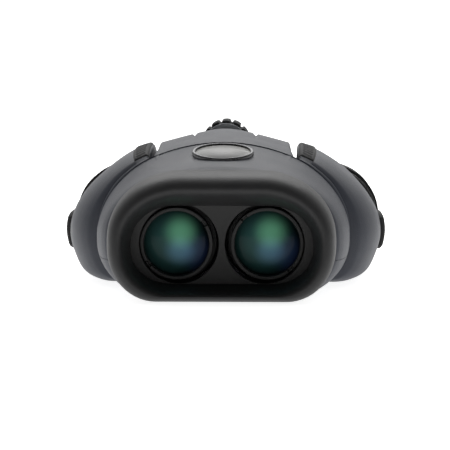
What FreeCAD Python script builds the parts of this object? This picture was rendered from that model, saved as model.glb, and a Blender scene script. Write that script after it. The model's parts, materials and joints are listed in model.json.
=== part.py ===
"""Compact reverse-Porro binoculars with a wide one-piece hood, as a parametric FreeCAD document.

Millimetres. The hood faces -Y, the eyecups face +Y, +Z is up and z = 0 is the table that they rest on.
Left and right are the user's, who looks along -Y: left is +X and right is -X.
Each wing holds one prism pair and one eyepiece, and turns about its own objective's axis.
"""
import FreeCAD
import Part
import math
import os
import re
import Sketcher

from FreeCAD import Placement, Rotation, Vector

doc = FreeCAD.newDocument("Binoculars")

# ---------------------------------------------------------------- driving dimensions
SIZES = {
    # axes of the two barrels, at rest
    "hinge_x": 14.4, "hinge_z": 17.4, "eye_x": 36.3, "eye_z": 18.6,
    # stations along the length
    "hood_front": -57.0, "hood_back": -43.0, "body_back": -20.0, "wing_front": -19.5,
    "wing_back": 33.0, "roof_back": 33.5, "eyecup_back": 57.0,
    # shells
    "wall": 1.8, "split_z": 12.0, "roof_half": 23.2, "channel_half": 10.4,
    "channel_front": 10.0, "channel_back": 31.5, "channel_floor": 35.8,
    # objectives
    "nose_radius": 11.45, "cell_radius": 12.5, "lens_radius": 10.5, "clear_radius": 10.3,
    "nose_front": -42.8, "ring_depth": 1.6, "cell_front": -35.4, "cell_back": -24.5,
    "focus_travel": 5.6, "converge_travel": 1.2, "ear_half": 5.0, "ear_height": 3.2,
    "panel_thick": 1.4, "panel_hole": 12.6, "panel_hole_x": 13.6,
    "plate_front": -31.0, "plate_thick": 3.0,
    # hinge bearings
    "bearing_radius": 12.0, "bearing_bore": 10.9, "bearing_back": -11.0,
    "hub_bore": 12.05, "hub_radius": 13.0, "gear_teeth": 36.0,
    # focus drive
    "wheel_z": 45.4, "wheel_radius": 8.5, "wheel_front": 13.0, "wheel_length": 16.0,
    "wheel_lobes": 13.0, "shaft_radius": 1.6, "nut_front": 1.0, "nut_length": 5.0,
    # eyepieces
    "tube_radius": 15.2, "tube_bore": 12.6, "tube_back": 49.5,
    "collar_radius": 17.4, "collar_front": 33.4, "collar_length": 5.6,
    "cup_radius": 18.3, "cup_front": 39.6, "cup_rise": 7.0,
    # prisms
    "prism_face": 15.0, "prism_plane": 7.5, "prism_plate_thick": 2.4,
    # tripod socket
    "bush_radius": 4.6, "socket_radius": 3.175, "socket_depth": 7.0,
}

sheet = doc.addObject("Spreadsheet::Sheet", "Sizes")
for row, (alias, value) in enumerate(SIZES.items(), start=1):
    sheet.set(f"A{row}", alias)
    sheet.set(f"B{row}", str(value))
    sheet.setAlias(f"B{row}", alias)
doc.recompute()


def size(alias):
    """The value of one cell of the sheet."""
    return float(sheet.get(alias))


WORD = re.compile(r"[a-z][a-z_]*")
ALONG_Y = Rotation(Vector(1, 0, 0), -90)
SIDES = (("left", 1), ("right", -1))
parts = {}


def bound(text):
    """An expression with each alias in it pointed at the sheet."""
    return WORD.sub(lambda m: f"Sizes.{m.group(0)}" if m.group(0) in SIZES else m.group(0), str(text))


def bind(thing, **expressions):
    for name, text in expressions.items():
        thing.setExpression(name.replace("__", "."), bound(text))
    return thing


def place(thing, x, y, z, rotation=None):
    thing.Placement = Placement(Vector(), rotation or Rotation())
    return bind(thing, Placement__Base__x=x, Placement__Base__y=y, Placement__Base__z=z)


def rod(radius, front, length, x=0, z=0):
    """A cylinder along +Y."""
    made = bind(doc.addObject("Part::Cylinder", "rod"), Radius=radius, Height=length)
    return place(made, x, front, z, ALONG_Y)


def cone(front_radius, back_radius, front, length, x=0, z=0):
    """A truncated cone along +Y."""
    made = bind(doc.addObject("Part::Cone", "cone"), Radius1=front_radius, Radius2=back_radius, Height=length)
    return place(made, x, front, z, ALONG_Y)


def upright(radius, x, y, z, height):
    """A cylinder along +Z."""
    made = bind(doc.addObject("Part::Cylinder", "post"), Radius=radius, Height=height)
    return place(made, x, y, z)


def box(x, y, z, width, length, height):
    """A box from its lowest corner."""
    made = bind(doc.addObject("Part::Box", "block"), Length=width, Width=length, Height=height)
    return place(made, x, y, z)


def centred_box(half_width, y, z, length, height, x=0):
    return box(f"({x}) - ({half_width})", y, z, f"2 * ({half_width})", length, height)


def fuse(*pieces):
    made = doc.addObject("Part::MultiFuse", "joined")
    made.Shapes = list(pieces)
    made.Refine = True
    return made


def cut(base, *tools):
    made = doc.addObject("Part::Cut", "cut")
    made.Base = base
    made.Tool = tools[0] if len(tools) == 1 else fuse(*tools)
    return made


def common(*pieces):
    made = doc.addObject("Part::MultiCommon", "shared")
    made.Shapes = list(pieces)
    return made


def tube(outer, inner, front, length, x=0, z=0):
    bore = rod(inner, f"({front}) - 1", f"({length}) + 2", x, z)
    return cut(rod(outer, front, length, x, z), bore)


def shaped(shape):
    """A helper object for a shape made with Part's own functions."""
    made = doc.addObject("Part::Feature", "shape")
    made.Shape = shape
    return made


def group(*pieces):
    """Separate solids of identical parts under one node."""
    made = doc.addObject("Part::Compound", "set")
    made.Links = list(pieces)
    return made


def part(node, thing):
    """Names a finished sub-part; its Label is the node's name."""
    thing.Label = node
    parts[node] = thing
    return thing


# ---------------------------------------------------------------- outlines and lofts
def bezier(y, *points, weight=1.0):
    """A curve in the plane at y, pulled towards its middle points."""
    curve = Part.BezierCurve()
    curve.setPoles([Vector(x, y, z) for x, z in points])
    if weight != 1.0:
        curve.setWeight(2, weight)
    return curve.toShape()


def line(y, start, end):
    return Part.makeLine(Vector(start[0], y, start[1]), Vector(end[0], y, end[1]))


def round_box(y, half, top, low, top_corner, low_corner, crown=0.0, depth=0.0):
    """An outline symmetric in x: flat foot, elliptical corners, upright sides and a crowned top."""
    (tx, tz), (lx, lz) = top_corner, low_corner
    foot, shoulder, side_low, side_top = half - lx, half - tx, low + lz, top - tz
    half, top, low = half - depth, top - depth, low + depth
    corner_top = top - 2 * crown * (half - shoulder) / shoulder
    round_off = math.sqrt(0.5)

    def corner(side, start, middle, end):
        return bezier(y, *[(side * x, z) for x, z in (start, middle, end)], weight=round_off)

    edges = [line(y, (-foot, low), (foot, low)),
             corner(1, (foot, low), (half, low), (half, side_low)),
             line(y, (half, side_low), (half, side_top)),
             corner(1, (half, side_top), (half, corner_top), (shoulder, top)),
             bezier(y, (shoulder, top), (0, top + 2 * crown), (-shoulder, top)),
             corner(-1, (shoulder, top), (half, corner_top), (half, side_top)),
             line(y, (-half, side_top), (-half, side_low)),
             corner(-1, (half, side_low), (half, low), (foot, low))]
    return Part.Wire(edges)


def inset(points, depth):
    """A closed outline moved inwards; points run anticlockwise seen from -Y."""
    moved = []
    for i, (x, z) in enumerate(points):
        (ax, az), (bx, bz) = points[i - 1], points[(i + 1) % len(points)]
        normals = []
        for dx, dz in ((x - ax, z - az), (bx - x, bz - z)):
            length = math.hypot(dx, dz)
            normals.append((-dz / length, dx / length))
        (nx, nz), (mx, mz) = normals
        share = depth / max(0.35, 1 + nx * mx + nz * mz)
        moved.append((x + (nx + mx) * share, z + (nz + mz) * share))
    return moved


def cornered_wire(points, corners, y):
    """Splines between the numbered corner points, which stay sharp."""
    edges = []
    count = len(points)
    for a, b in zip(corners, corners[1:] + [corners[0] + count]):
        run = [Vector(points[i % count][0], y, points[i % count][1]) for i in range(a, b + 1)]
        if len(run) == 2:
            edges.append(Part.makeLine(run[0], run[1]))
        else:
            curve = Part.BSplineCurve()
            curve.interpolate(Points=run)
            edges.append(curve.toShape())
    return Part.Wire(edges)


def loft(wires, ruled=False):
    return Part.makeLoft(wires, True, ruled)


# ---------------------------------------------------------------- main body: hood, shells, panel
WALL = size("wall")
HOOD_FRONT, HOOD_BACK = size("hood_front"), size("hood_back")
BODY_BACK, ROOF_BACK = size("body_back"), size("roof_back")
HINGE_X, HINGE_Z = size("hinge_x"), size("hinge_z")
EYE_X, EYE_Z = size("eye_x"), size("eye_z")

# station, half width, top, foot, upper corner (x, z), lower corner (x, z)
HOOD_OUTSIDE = [
    (HOOD_BACK, 36.0, 41.0, 0.0, (24, 21), (15, 17)),
    (HOOD_BACK - 6.5, 35.8, 40.5, 0.0, (24, 21), (15, 17)),
    (HOOD_FRONT + 3.0, 35.0, 39.2, 0.5, (23, 20), (15, 16.5)),
    (HOOD_FRONT + 0.8, 33.6, 37.2, 1.5, (22, 19), (14.5, 16)),
    (HOOD_FRONT, 32.4, 35.8, 2.3, (21, 17), (14, 14.5)),
]
HOOD_MOUTH = [
    (HOOD_FRONT - 0.5, 31.2, 34.6, 2.9, (19, 15.5), (14, 14)),
    (HOOD_FRONT + 2.5, 30.5, 32.8, 3.4, (18, 14.5), (14, 13.5)),
    (HOOD_BACK + 0.5, 28.9, 29.5, 4.6, (14, 12.2), (13, 10.8)),
]


def box_loft(stations, depth=0.0):
    return loft([round_box(*station, depth=depth) for station in stations])


part("objective_hood", cut(shaped(box_loft(HOOD_OUTSIDE)), shaped(box_loft(HOOD_MOUTH))))

# station, half width, top, foot, corners, crown
BODY = [
    (HOOD_BACK, 36.2, 40.4, 0.0, (23, 21.4), (15, 17), 0.6),
    (-38.0, 38.8, 41.2, 0.0, (23.3, 22.2), (16, 17), 1.5),
    (-30.0, 40.8, 41.9, 0.0, (21.3, 22.9), (17, 16.8), 3.3),
    (BODY_BACK, 41.4, 43.4, 0.0, (17.9, 24.4), (17.4, 16.6), 5.0),
]



def shell_between(stations, depth):
    """A tube-like shell: the loft of the outlines less the loft of the inset ones, open at both ends."""
    longer = [(stations[0][0] - 0.01, *stations[0][1:]), *stations[1:-1],
              (stations[-1][0] + 0.01, *stations[-1][1:])]
    return box_loft(stations).cut(box_loft(longer, depth))


front_shell = shell_between(BODY, WALL)

# the roof runs back between the wings: station, ridge height, shoulder height
ROOF = [(BODY_BACK - 2.0, 48.4, 45.0), (-10.0, 50.6, 46.2), (0.0, 51.7, 46.8), (12.0, 50.4, 46.4),
        (24.0, 48.0, 44.8), (ROOF_BACK, 45.0, 42.6)]


def roof_wire(station, depth=0.0):
    """Undercut walls, a rounded shoulder and a crowned top."""
    y, ridge, shoulder = station
    half, sill, foot, foot_half = size("roof_half") - depth, 36.0, 33.0, 20.0 - depth
    ridge, shoulder = ridge - depth, shoulder - depth
    bend = shoulder + (ridge - shoulder) * 0.35
    edges = [line(y, (-foot_half, foot), (foot_half, foot)),
             line(y, (foot_half, foot), (half - 1.2, sill)),
             line(y, (half - 1.2, sill), (half, shoulder - 3.5)),
             bezier(y, (half, shoulder - 3.5), (half, shoulder - 0.6), (half - 3.0, bend)),
             bezier(y, (half - 3.0, bend), (0, 2 * ridge - bend), (3.0 - half, bend)),
             bezier(y, (3.0 - half, bend), (-half, shoulder - 0.6), (-half, shoulder - 3.5)),
             line(y, (-half, shoulder - 3.5), (1.2 - half, sill)),
             line(y, (1.2 - half, sill), (-foot_half, foot))]
    return Part.Wire(edges)


roof_outside = loft([roof_wire(s) for s in ROOF])
roof_inside = loft([roof_wire(s, WALL) for s in ROOF])
cavity_back = 7.5
front_cavity = Part.makeBox(60, 50, 40, Vector(-30, cavity_back - 50, 20))
rail_cavities = [Part.makeBox(8.6, 21, 9.0, Vector(x, cavity_back + 2, 32.5)) for x in (-20.6, 12.0)]
roof = roof_outside.cut(roof_inside.common(front_cavity))
roof = roof.cut(Part.makeCompound(rail_cavities))
channel = Part.makeBox(2 * size("channel_half"), size("channel_back") - size("channel_front"), 30,
                       Vector(-size("channel_half"), size("channel_front"), size("channel_floor")))
roof = roof.cut(channel)
shaft_way = Part.makeCylinder(3.0, 4, Vector(0, cavity_back - 1, size("wheel_z")), Vector(0, 1, 0))
beam_way = Part.makeBox(18, 60, 2.0, Vector(-9, BODY_BACK - 1, 32.6))
back_way = Part.makeCylinder(size("shaft_radius") + 0.05, 6, Vector(0, size("channel_back") - 1, size("wheel_z")),
                             Vector(0, 1, 0))
roof = roof.cut(shaft_way).cut(back_way).cut(beam_way)

# the oval badge lies on the slope of the nose
BADGE_PLACE = Placement(Vector(0, -29.0, 45.3), Rotation(Vector(1, 0, 0), 17.5))


def oval(half_width, half_length, low, high):
    face = Part.Face(Part.Wire([Part.Ellipse(Vector(), half_width, half_length).toShape()]))
    solid = face.extrude(Vector(0, 0, high - low))
    solid.Placement = BADGE_PLACE.multiply(Placement(Vector(0, 0, low), Rotation()))
    return solid


BIG = 200
above_split = Part.makeBox(BIG, BIG, BIG, Vector(-BIG / 2, -BIG / 2, size("split_z")))
# the body's inside stays open where the roof's front end runs over it
body_inside = box_loft(BODY, WALL)
roof_behind = roof.cut(body_inside)
upper = front_shell.common(above_split).fuse(roof_behind).removeSplitter()
lower = front_shell.cut(above_split)
upper = upper.cut(oval(10.0, 7.3, -1.6, 3.0))
part("upper_shell", shaped(upper))

spine = Part.makeBox(17.6, 53, 4.6, Vector(-8.8, BODY_BACK, 0.0))
lower = lower.fuse(spine).removeSplitter()
lower = lower.cut(Part.makeBox(17.6, 4.6, 3, Vector(-8.8, BODY_BACK - 0.2, 3.4)))
SOCKET_Y = 2.0
SCREW_SPOTS = [(-19, -38), (19, -38), (-21, -25), (21, -25)]
lower = lower.cut(Part.makeCylinder(size("bush_radius"), 20, Vector(0, SOCKET_Y, -5)))
for x, y in SCREW_SPOTS:
    lower = lower.cut(Part.makeCylinder(2.1, 2.4, Vector(x, y, -1.0)))
part("lower_shell", shaped(lower))


# ---------------------------------------------------------------- padded sub-parts
def sketched_body(name):
    """A body with one sketch on its own XZ plane; u runs along X and v along Z."""
    body = doc.addObject("PartDesign::Body", name)
    sketch = body.newObject("Sketcher::SketchObject", f"{name}_sketch")
    plane = next(f for f in body.Origin.OriginFeatures if f.Role == "XZ_Plane")
    sketch.AttachmentSupport = [(plane, "")]
    sketch.MapMode = "FlatFace"
    return body, sketch


def circle(sketch, name, x, z, radius):
    """A circle whose radius is bound to the sheet."""
    index = sketch.addGeometry(Part.Circle(Vector(x, z, 0), Vector(0, 0, 1), 5.0))
    number = sketch.addConstraint(Sketcher.Constraint("Radius", index, 5.0))
    sketch.renameConstraint(number, name)
    sketch.setExpression(f"Constraints.{name}", bound(radius))


def closed_run(sketch, edges):
    """Lines and arcs joined end to end."""
    first = sketch.addGeometry(edges[0])
    last = first
    for edge in edges[1:]:
        index = sketch.addGeometry(edge)
        sketch.addConstraint(Sketcher.Constraint("Coincident", last, 2, index, 1))
        last = index
    sketch.addConstraint(Sketcher.Constraint("Coincident", last, 2, first, 1))


def segments(points):
    ends = points[1:] + points[:1]
    return [Part.LineSegment(Vector(*a, 0), Vector(*b, 0)) for a, b in zip(points, ends)]


def rounded_block(half, low, high, radius, middle=0.0):
    """The edges of a rounded rectangle, anticlockwise from its foot."""
    left, right = middle - half, middle + half
    corners = [(right - radius, low + radius, -90), (right - radius, high - radius, 0),
               (left + radius, high - radius, 90), (left + radius, low + radius, 180)]
    arcs = []
    for x, z, start in corners:
        whole = Part.Circle(Vector(x, z, 0), Vector(0, 0, 1), radius)
        arcs.append(Part.ArcOfCircle(whole, math.radians(start), math.radians(start + 90)))
    edges = []
    for here, after in zip(arcs, arcs[1:] + arcs[:1]):
        edges.append(here)
        if (here.EndPoint - after.StartPoint).Length > 1e-6:
            edges.append(Part.LineSegment(here.EndPoint, after.StartPoint))
    return edges


def pad(body, sketch, front, thickness, x=0, z=0):
    """Pads the sketch towards +Y and stands the body at its front."""
    made = body.newObject("PartDesign::Pad", "pad")
    made.Profile = sketch
    made.Reversed = True
    bind(made, Length=thickness)
    body.Tip = made
    sketch.Visibility = False
    return place(body, x, front, z)


body, sketch = sketched_body("panel_body")
closed_run(sketch, rounded_block(31.6, 3.0, 34.6, 15.0))
for side, sign in SIDES:
    circle(sketch, f"{side}_window", sign * size("panel_hole_x"), HINGE_Z, "panel_hole")
part("baffle_panel", pad(body, sketch, "hood_back", "panel_thick"))

# ---------------------------------------------------------------- chassis, guides and cams
inside = shaped(body_inside)
plate = centred_box("41", "body_back - 2", "1.8", "2", "42.2")
chassis = [common(plate, inside)]
bores = []
for side, sign in SIDES:
    at = {"x": f"{sign} * hinge_x", "z": "hinge_z"}
    chassis.append(rod("bearing_radius", "body_back - 1", "bearing_back - body_back + 1", **at))
    bores.append(rod("bearing_bore", "body_back - 3", "bearing_back - body_back + 4", **at))
beam = centred_box("9", "body_back - 1", "32.6", "roof_back - body_back + 0.5", "2")
arm_window = centred_box("6", "body_back - 3", "35.2", "4", "6.3")
part("chassis", cut(fuse(*chassis, beam), *bores, arm_window))

GUIDE_Z = (5.5, 31.0)
guides = [rod("1.5", "plate_front - 8", "body_back - plate_front + 6", 0, z) for z in GUIDE_Z]
part("guide_rods", group(*guides))

slot_bottoms = []
cam = shaped(Part.makeBox(40, 18.2, 1.4, Vector(-20, -40.2, 34.2)))
arm_way = centred_box("6.5", "-42", "33", "21", "4")
slots = [arm_way]
FOCUS, CONVERGE = size("focus_travel"), size("converge_travel")
PIN_Y = -32.8
for side, sign in SIDES:
    start = Vector(sign * HINGE_X, PIN_Y, 33)
    end = Vector(sign * (HINGE_X - CONVERGE), PIN_Y - FOCUS, 33)
    along = (end - start).normalize()
    across = Vector(-along.y, along.x, 0) * 1.15
    reach = along * 0.2
    corners = [start - reach + across, end + reach + across, end + reach - across, start - reach - across]
    slot = Part.Face(Part.makePolygon(corners + corners[:1])).extrude(Vector(0, 0, 4))
    slot = slot.fuse([Part.makeCylinder(1.15, 4, start - reach), Part.makeCylinder(1.15, 4, end + reach)])
    slots.append(shaped(slot))
ribs = [box(f"{x}", "-24", "34.2", "2.4", "body_back + 22", "3") for x in (-19, 16.6)]
part("cam_plate", fuse(cut(cam, *slots), *ribs))

# ---------------------------------------------------------------- carriage
body_plate = centred_box("29", "plate_front", "3.6", "plate_thick", "29")
openings = []
for side, sign in SIDES:
    for shift in (0, CONVERGE):
        openings.append(rod("cell_radius + 0.3", "plate_front - 1", "plate_thick + 2",
                            f"{sign} * (hinge_x - {shift})", "hinge_z"))
    openings.append(centred_box("converge_travel / 2", "plate_front - 1", "hinge_z - cell_radius - 0.3",
                                "plate_thick + 2", "2 * cell_radius + 0.6",
                                f"{sign} * (hinge_x - converge_travel / 2)"))
guide_holes = [rod("1.55", "plate_front - 2", "plate_thick + 5", 0, z) for z in GUIDE_Z]
arm = [centred_box("4", "plate_front", "29", "plate_thick", "10"),
       centred_box("4", "plate_front", "37.2", "nut_front + 5.2 - plate_front", "2.6"),
       centred_box("2.4", "nut_front", "39", "nut_length - 0.8", "4.6")]
part("objective_carriage", cut(fuse(body_plate, *arm), *openings, *guide_holes,
                               rod("2.75", "nut_front - 1", "nut_length + 2", 0, "wheel_z")))
part("focus_nut", tube("2.75", "shaft_radius + 0.02", "nut_front", "nut_length", 0, "wheel_z"))

# ---------------------------------------------------------------- objectives
for side, sign in SIDES:
    at = {"x": f"{sign} * hinge_x", "z": "hinge_z"}
    barrel = fuse(rod("nose_radius", "nose_front + ring_depth", "cell_front - nose_front - ring_depth + 1", **at),
                  rod("cell_radius", "cell_front", "cell_back - cell_front", **at))
    ear_foot = "hinge_z + cell_radius - 1"
    ears = [centred_box("ear_half", PIN_Y - 1.4, ear_foot, "2.8", "ear_height + 1", at["x"]),
            centred_box("ear_half", PIN_Y - 1.4, "hinge_z - cell_radius - 1.6", "2.8", "2.6", at["x"]),
            upright("1.05", at["x"], f"{PIN_Y}", ear_foot, "35.4 - (hinge_z + cell_radius - 1)")]
    bore = [rod("lens_radius", "nose_front", "5.6", **at), rod("lens_radius + 0.02", "-37.6", "2.8", **at),
            rod("9.9", "-36", "cell_back + 40", **at)]
    part(f"{side}_objective_cell", cut(fuse(barrel, *ears), *bore))
    crown = Part.makeCylinder(size("lens_radius"), 3.2, Vector(sign * HINGE_X, -40.9, HINGE_Z), Vector(0, 1, 0))
    bulge = Part.makeSphere(38, Vector(sign * HINGE_X, -40.9 + 38, HINGE_Z))
    part(f"{side}_objective_crown", shaped(crown.common(bulge)))
    part(f"{side}_objective_flint", rod("lens_radius", "-37.6", "2.5", **at))
    body, sketch = sketched_body(f"{side}_ring_body")
    circle(sketch, "outside", 0, 0, "nose_radius")
    circle(sketch, "inside", 0, 0, "clear_radius")
    part(f"{side}_retaining_ring", pad(body, sketch, "nose_front", "ring_depth", at["x"], "hinge_z"))

# ---------------------------------------------------------------- focus wheel and its shaft
body, sketch = sketched_body("wheel_body")
lobes = int(size("wheel_lobes"))
step = 2 * math.pi / lobes
crest, root = size("wheel_radius"), size("wheel_radius") - 0.9
outline = []
for i in range(lobes):
    for share, radius in ((-0.34, crest), (-0.12, crest + 0.08), (0.12, crest + 0.08), (0.34, crest),
                          (0.42, root), (0.58, root)):
        angle = (i + share) * step
        outline.append((radius * math.cos(angle), radius * math.sin(angle)))
closed_run(sketch, segments(outline))
circle(sketch, "core", 0, 0, "wheel_radius - 2.3")
part("focus_wheel_grip", pad(body, sketch, "wheel_front + 0.8", "wheel_length - 1.6", 0, "wheel_z"))
hub = fuse(rod("wheel_radius - 2.3", "wheel_front", "wheel_length", 0, "wheel_z"),
           rod("wheel_radius - 1", "wheel_front", "0.8", 0, "wheel_z"),
           rod("wheel_radius - 1", "wheel_front + wheel_length - 0.8", "0.8", 0, "wheel_z"),
           rod("3", "wheel_front - 1.6", "2", 0, "wheel_z"))
part("focus_wheel_core", cut(hub, rod("shaft_radius", "wheel_front - 4", "wheel_length + 8", 0, "wheel_z")))
part("focus_shaft", rod("shaft_radius", "-7", "40", 0, "wheel_z"))
part("wheel_bearing", tube("3", "shaft_radius + 0.05", "6.9", "3.2", 0, "wheel_z"))
part("wheel_clip", tube("2.6", "shaft_radius", "wheel_front + wheel_length", "0.8", 0, "wheel_z"))


# ---------------------------------------------------------------- wings
# outline of the left wing from its top inner corner over the outside to its foot, then back by the hub
WING_MIDDLE = [(24.7, 46.2), (31.5, 43.9), (40.0, 38.2), (47.8, 30.6), (52.0, 23.6), (53.4, 16.6), (51.9, 9.5),
               (48.4, 3.2), (42.6, 0.4), (35.8, 0.0), (26.0, 2.0), (20.5, 6.6), (HINGE_X, HINGE_Z),
               (20.6, 28.6), (24.4, 33.5)]
WING_FRONT_REACH = [27.4, 27.5, 27.5, 27.5, 27.5, 27.5, 27.4, 27.0, 26.0, 22.9, 17.4]
WING_CORNERS = [0, 10, 11, 12, 13, 14]
# station, share of the middle outline, how far the outside is drawn in, drop of the top inner corner
WING = [(size("wing_front"), 0.0, 0.0, 0.0), (-14.0, 0.5, 0.0, 0.0), (-6.0, 0.84, 0.0, 0.0),
        (4.0, 0.98, 0.0, 0.0), (14.0, 1.0, 0.0, 0.0), (24.0, 0.99, 0.0, 2.0), (30.5, 0.97, 0.4, 5.4),
        (size("wing_back"), 0.96, 2.0, 7.6)]
HUB_BACK = size("bearing_back") + 0.2


def wing_outline(share, drawn_in, drop):
    """Each outer point moves along its ray from the hinge between the front reach and the middle outline."""
    points = []
    for i, (x, z) in enumerate(WING_MIDDLE):
        if i < len(WING_FRONT_REACH):
            reach = math.hypot(x - HINGE_X, z - HINGE_Z)
            wanted = WING_FRONT_REACH[i] + (reach - WING_FRONT_REACH[i]) * share - drawn_in
            x, z = HINGE_X + (x - HINGE_X) * wanted / reach, HINGE_Z + (z - HINGE_Z) * wanted / reach
            if i == 0:
                x, z = max(x, 24.5), z - drop
        points.append((x, max(z, 0.0)))
    return points


def wing_loft(depth=0.0, extend=0.0):
    wires = []
    for y, share, drawn_in, drop in WING:
        points = inset(wing_outline(share, 0.0 if depth else drawn_in, drop), -depth)
        wires.append(cornered_wire(points, WING_CORNERS, y + (extend if y == WING[-1][0] else 0.0)))
    return loft(wires)


def on_axis(radius, front, back, x=HINGE_X, z=HINGE_Z):
    return Part.makeCylinder(radius, back - front, Vector(x, front, z), Vector(0, 1, 0))


def slab(front, back):
    return Part.makeBox(120, back - front, 120, Vector(-60, front, -60))


def for_side(shape, sign):
    return shape if sign > 0 else shape.mirror(Vector(0, 0, 0), Vector(1, 0, 0))


FRONT, BACK = size("wing_front"), size("wing_back")
HUB = size("hub_radius")
wing_solid = wing_loft().fuse(on_axis(HUB, FRONT, BACK))
wing_cavity = wing_loft(WALL, 0.5).common(slab(FRONT + WALL, BACK + 2))
wing_cavity = wing_cavity.cut(on_axis(HUB, FRONT, HUB_BACK + 1.5)).fuse(on_axis(HUB - WALL, HUB_BACK - 1, BACK + 0.5))
fitted = wing_loft(WALL + 0.4).fuse(on_axis(HUB - WALL - 0.4, HUB_BACK, BACK))
wing = wing_solid.cut(wing_cavity).cut(on_axis(size("hub_bore"), FRONT - 1, HUB_BACK))

# two crossed prisms fold the light from the objective's axis to the eyepiece's
PLANE, PLATE = size("prism_plane"), size("prism_plate_thick")
leg = (EYE_X - HINGE_X) / math.sqrt(2)
eye_axis_z = HINGE_Z
fold = Vector((HINGE_X + EYE_X) / 2, 0, HINGE_Z + (EYE_X - HINGE_X) / 2)


def prism(start, end, base_y, direction):
    """A right-angle prism whose long face spans start to end and whose roof edge points along direction."""
    middle, along = (start + end) * 0.5, (end - start).normalize()
    across = Vector(0, direction, 0).cross(along)
    half = size("prism_face") / 2 - 0.5
    base = Vector(middle.x, base_y, middle.z)
    corners = [base - along * leg, base + along * leg, base + Vector(0, direction * leg, 0)]
    face = Part.Face(Part.makePolygon([c - across * half for c in corners + corners[:1]]))
    return face.extrude(across * 2 * half)


hinge_point, eye_point = Vector(HINGE_X, 0, HINGE_Z), Vector(EYE_X, 0, HINGE_Z)
rear_prism = prism(hinge_point, fold, PLANE + PLATE / 2, 1).common(fitted)
front_prism = prism(fold, eye_point, PLANE - PLATE / 2, -1).common(fitted)
prism_plate = wing_cavity.common(slab(PLANE - PLATE / 2, PLANE + PLATE / 2))
for x, z in ((HINGE_X, HINGE_Z), (fold.x, fold.z), (EYE_X, HINGE_Z)):
    prism_plate = prism_plate.cut(on_axis(5.6, -20, 40, x, z))
rear_clip = on_axis(3.0, PLANE + PLATE / 2 + leg, PLANE + PLATE / 2 + leg + 0.8,
                    (HINGE_X + fold.x) / 2, (HINGE_Z + fold.z) / 2)
front_clip = on_axis(3.0, PLANE - PLATE / 2 - leg - 0.8, PLANE - PLATE / 2 - leg,
                     (fold.x + EYE_X) / 2, (fold.z + HINGE_Z) / 2)

tube_at = {"x": EYE_X, "z": EYE_Z}
cover = wing_cavity.common(slab(BACK - 2.0, BACK)).fuse(on_axis(size("tube_radius") + 1.2, BACK - 2, BACK, **tube_at))
cover = cover.cut(on_axis(size("tube_radius"), -20, 60, **tube_at))
wing = wing.cut(cover)

# pads: the grips are raised skins let into the shell
GRIP_RIBS = 6
skin = wing_loft(0.9)
side_zone = Part.makeBox(30, 17.5, 14.4, Vector(40, 4.8, 9.2))
outer_skin = wing_loft(-1.1)
side_pad = outer_skin.cut(skin).common(side_zone)
for i in range(GRIP_RIBS):
    groove = Part.makeBox(30, 0.9, 20, Vector(52.8, 6.6 + i * 2.6, 6))
    side_pad = side_pad.cut(groove)
top_zone = Part.makePolygon([Vector(*p, 60) for p in ((25.2, -17.2), (30.4, -17.6), (31.4, -8), (31.5, 6),
                                                      (31.0, 17), (29.8, 25), (27.8, 27.4), (26.0, 26), (25.2, -17.2))])
top_zone = Part.Face(top_zone).extrude(Vector(0, 0, -28))
top_pad = wing_loft(-0.5).cut(skin).common(top_zone)
wing = wing.cut(side_zone.common(wing_solid.cut(skin))).cut(top_zone.common(wing_solid.cut(skin)))
# the eyepiece tube is let into the wall at the wing's back
wing = wing.cut(Part.makeCylinder(size("tube_radius"), 4, Vector(EYE_X, size("wing_back") - 2, EYE_Z), Vector(0, 1, 0)))

# synchronising sectors: each wing carries part of a gear about its hinge axis
TEETH = int(size("gear_teeth"))
PRESSURE = math.radians(20)


def involute(angle):
    return math.tan(angle) - angle


def sector(first, last, phase):
    """Teeth from the first to the last number; straight flank segments stay inside the involute."""
    pitch = HINGE_X
    module = 2 * pitch / TEETH
    base = pitch * math.cos(PRESSURE)
    thick = math.pi / (2 * TEETH) - 0.075 / pitch
    radii = [pitch - 1.15 * module, base, pitch - 0.35, pitch + 0.1, pitch + 0.92 * module]
    points = []
    for number in range(first, last + 1):
        middle = phase + number * 2 * math.pi / TEETH
        half = [thick + involute(PRESSURE) - (involute(math.acos(base / r)) if r > base else 0.0) for r in radii]
        points += [(r, middle - h) for r, h in zip(radii, half)]
        points += [(r, middle + h) for r, h in reversed(list(zip(radii, half)))]
    start, end = points[0][1] - 0.02, points[-1][1] + 0.02
    inner, sweep = HUB * 1.0012, 14
    points = [(inner, start), (radii[0], start)] + points + [(radii[0], end), (inner, end)]
    points += [(inner, end + (start - end) * k / sweep) for k in range(1, sweep)]
    return [(r * math.cos(a), r * math.sin(a)) for r, a in points]


for side, sign in SIDES:
    part(f"{side}_wing_shell", shaped(for_side(wing, sign)))
    part(f"{side}_rear_cover", shaped(for_side(cover, sign)))
    part(f"{side}_prism_plate", shaped(for_side(prism_plate, sign)))
    part(f"{side}_rear_prism", shaped(for_side(rear_prism, sign)))
    part(f"{side}_front_prism", shaped(for_side(front_prism, sign)))
    clips = Part.makeCompound([rear_clip, front_clip])
    part(f"{side}_prism_clips", shaped(for_side(clips, sign)))
    part(f"{side}_side_grip_pad", shaped(for_side(side_pad, sign)))
    part(f"{side}_top_grip_pad", shaped(for_side(top_pad, sign)))
    body, sketch = sketched_body(f"{side}_gear_body")
    outline = sector(-1, 5, math.pi) if sign > 0 else sector(-6, 1, math.pi / TEETH)
    closed_run(sketch, segments(outline))
    part(f"{side}_sync_gear", pad(body, sketch, "wing_front + 0.3", "3", f"{sign} * hinge_x", "hinge_z"))

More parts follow.
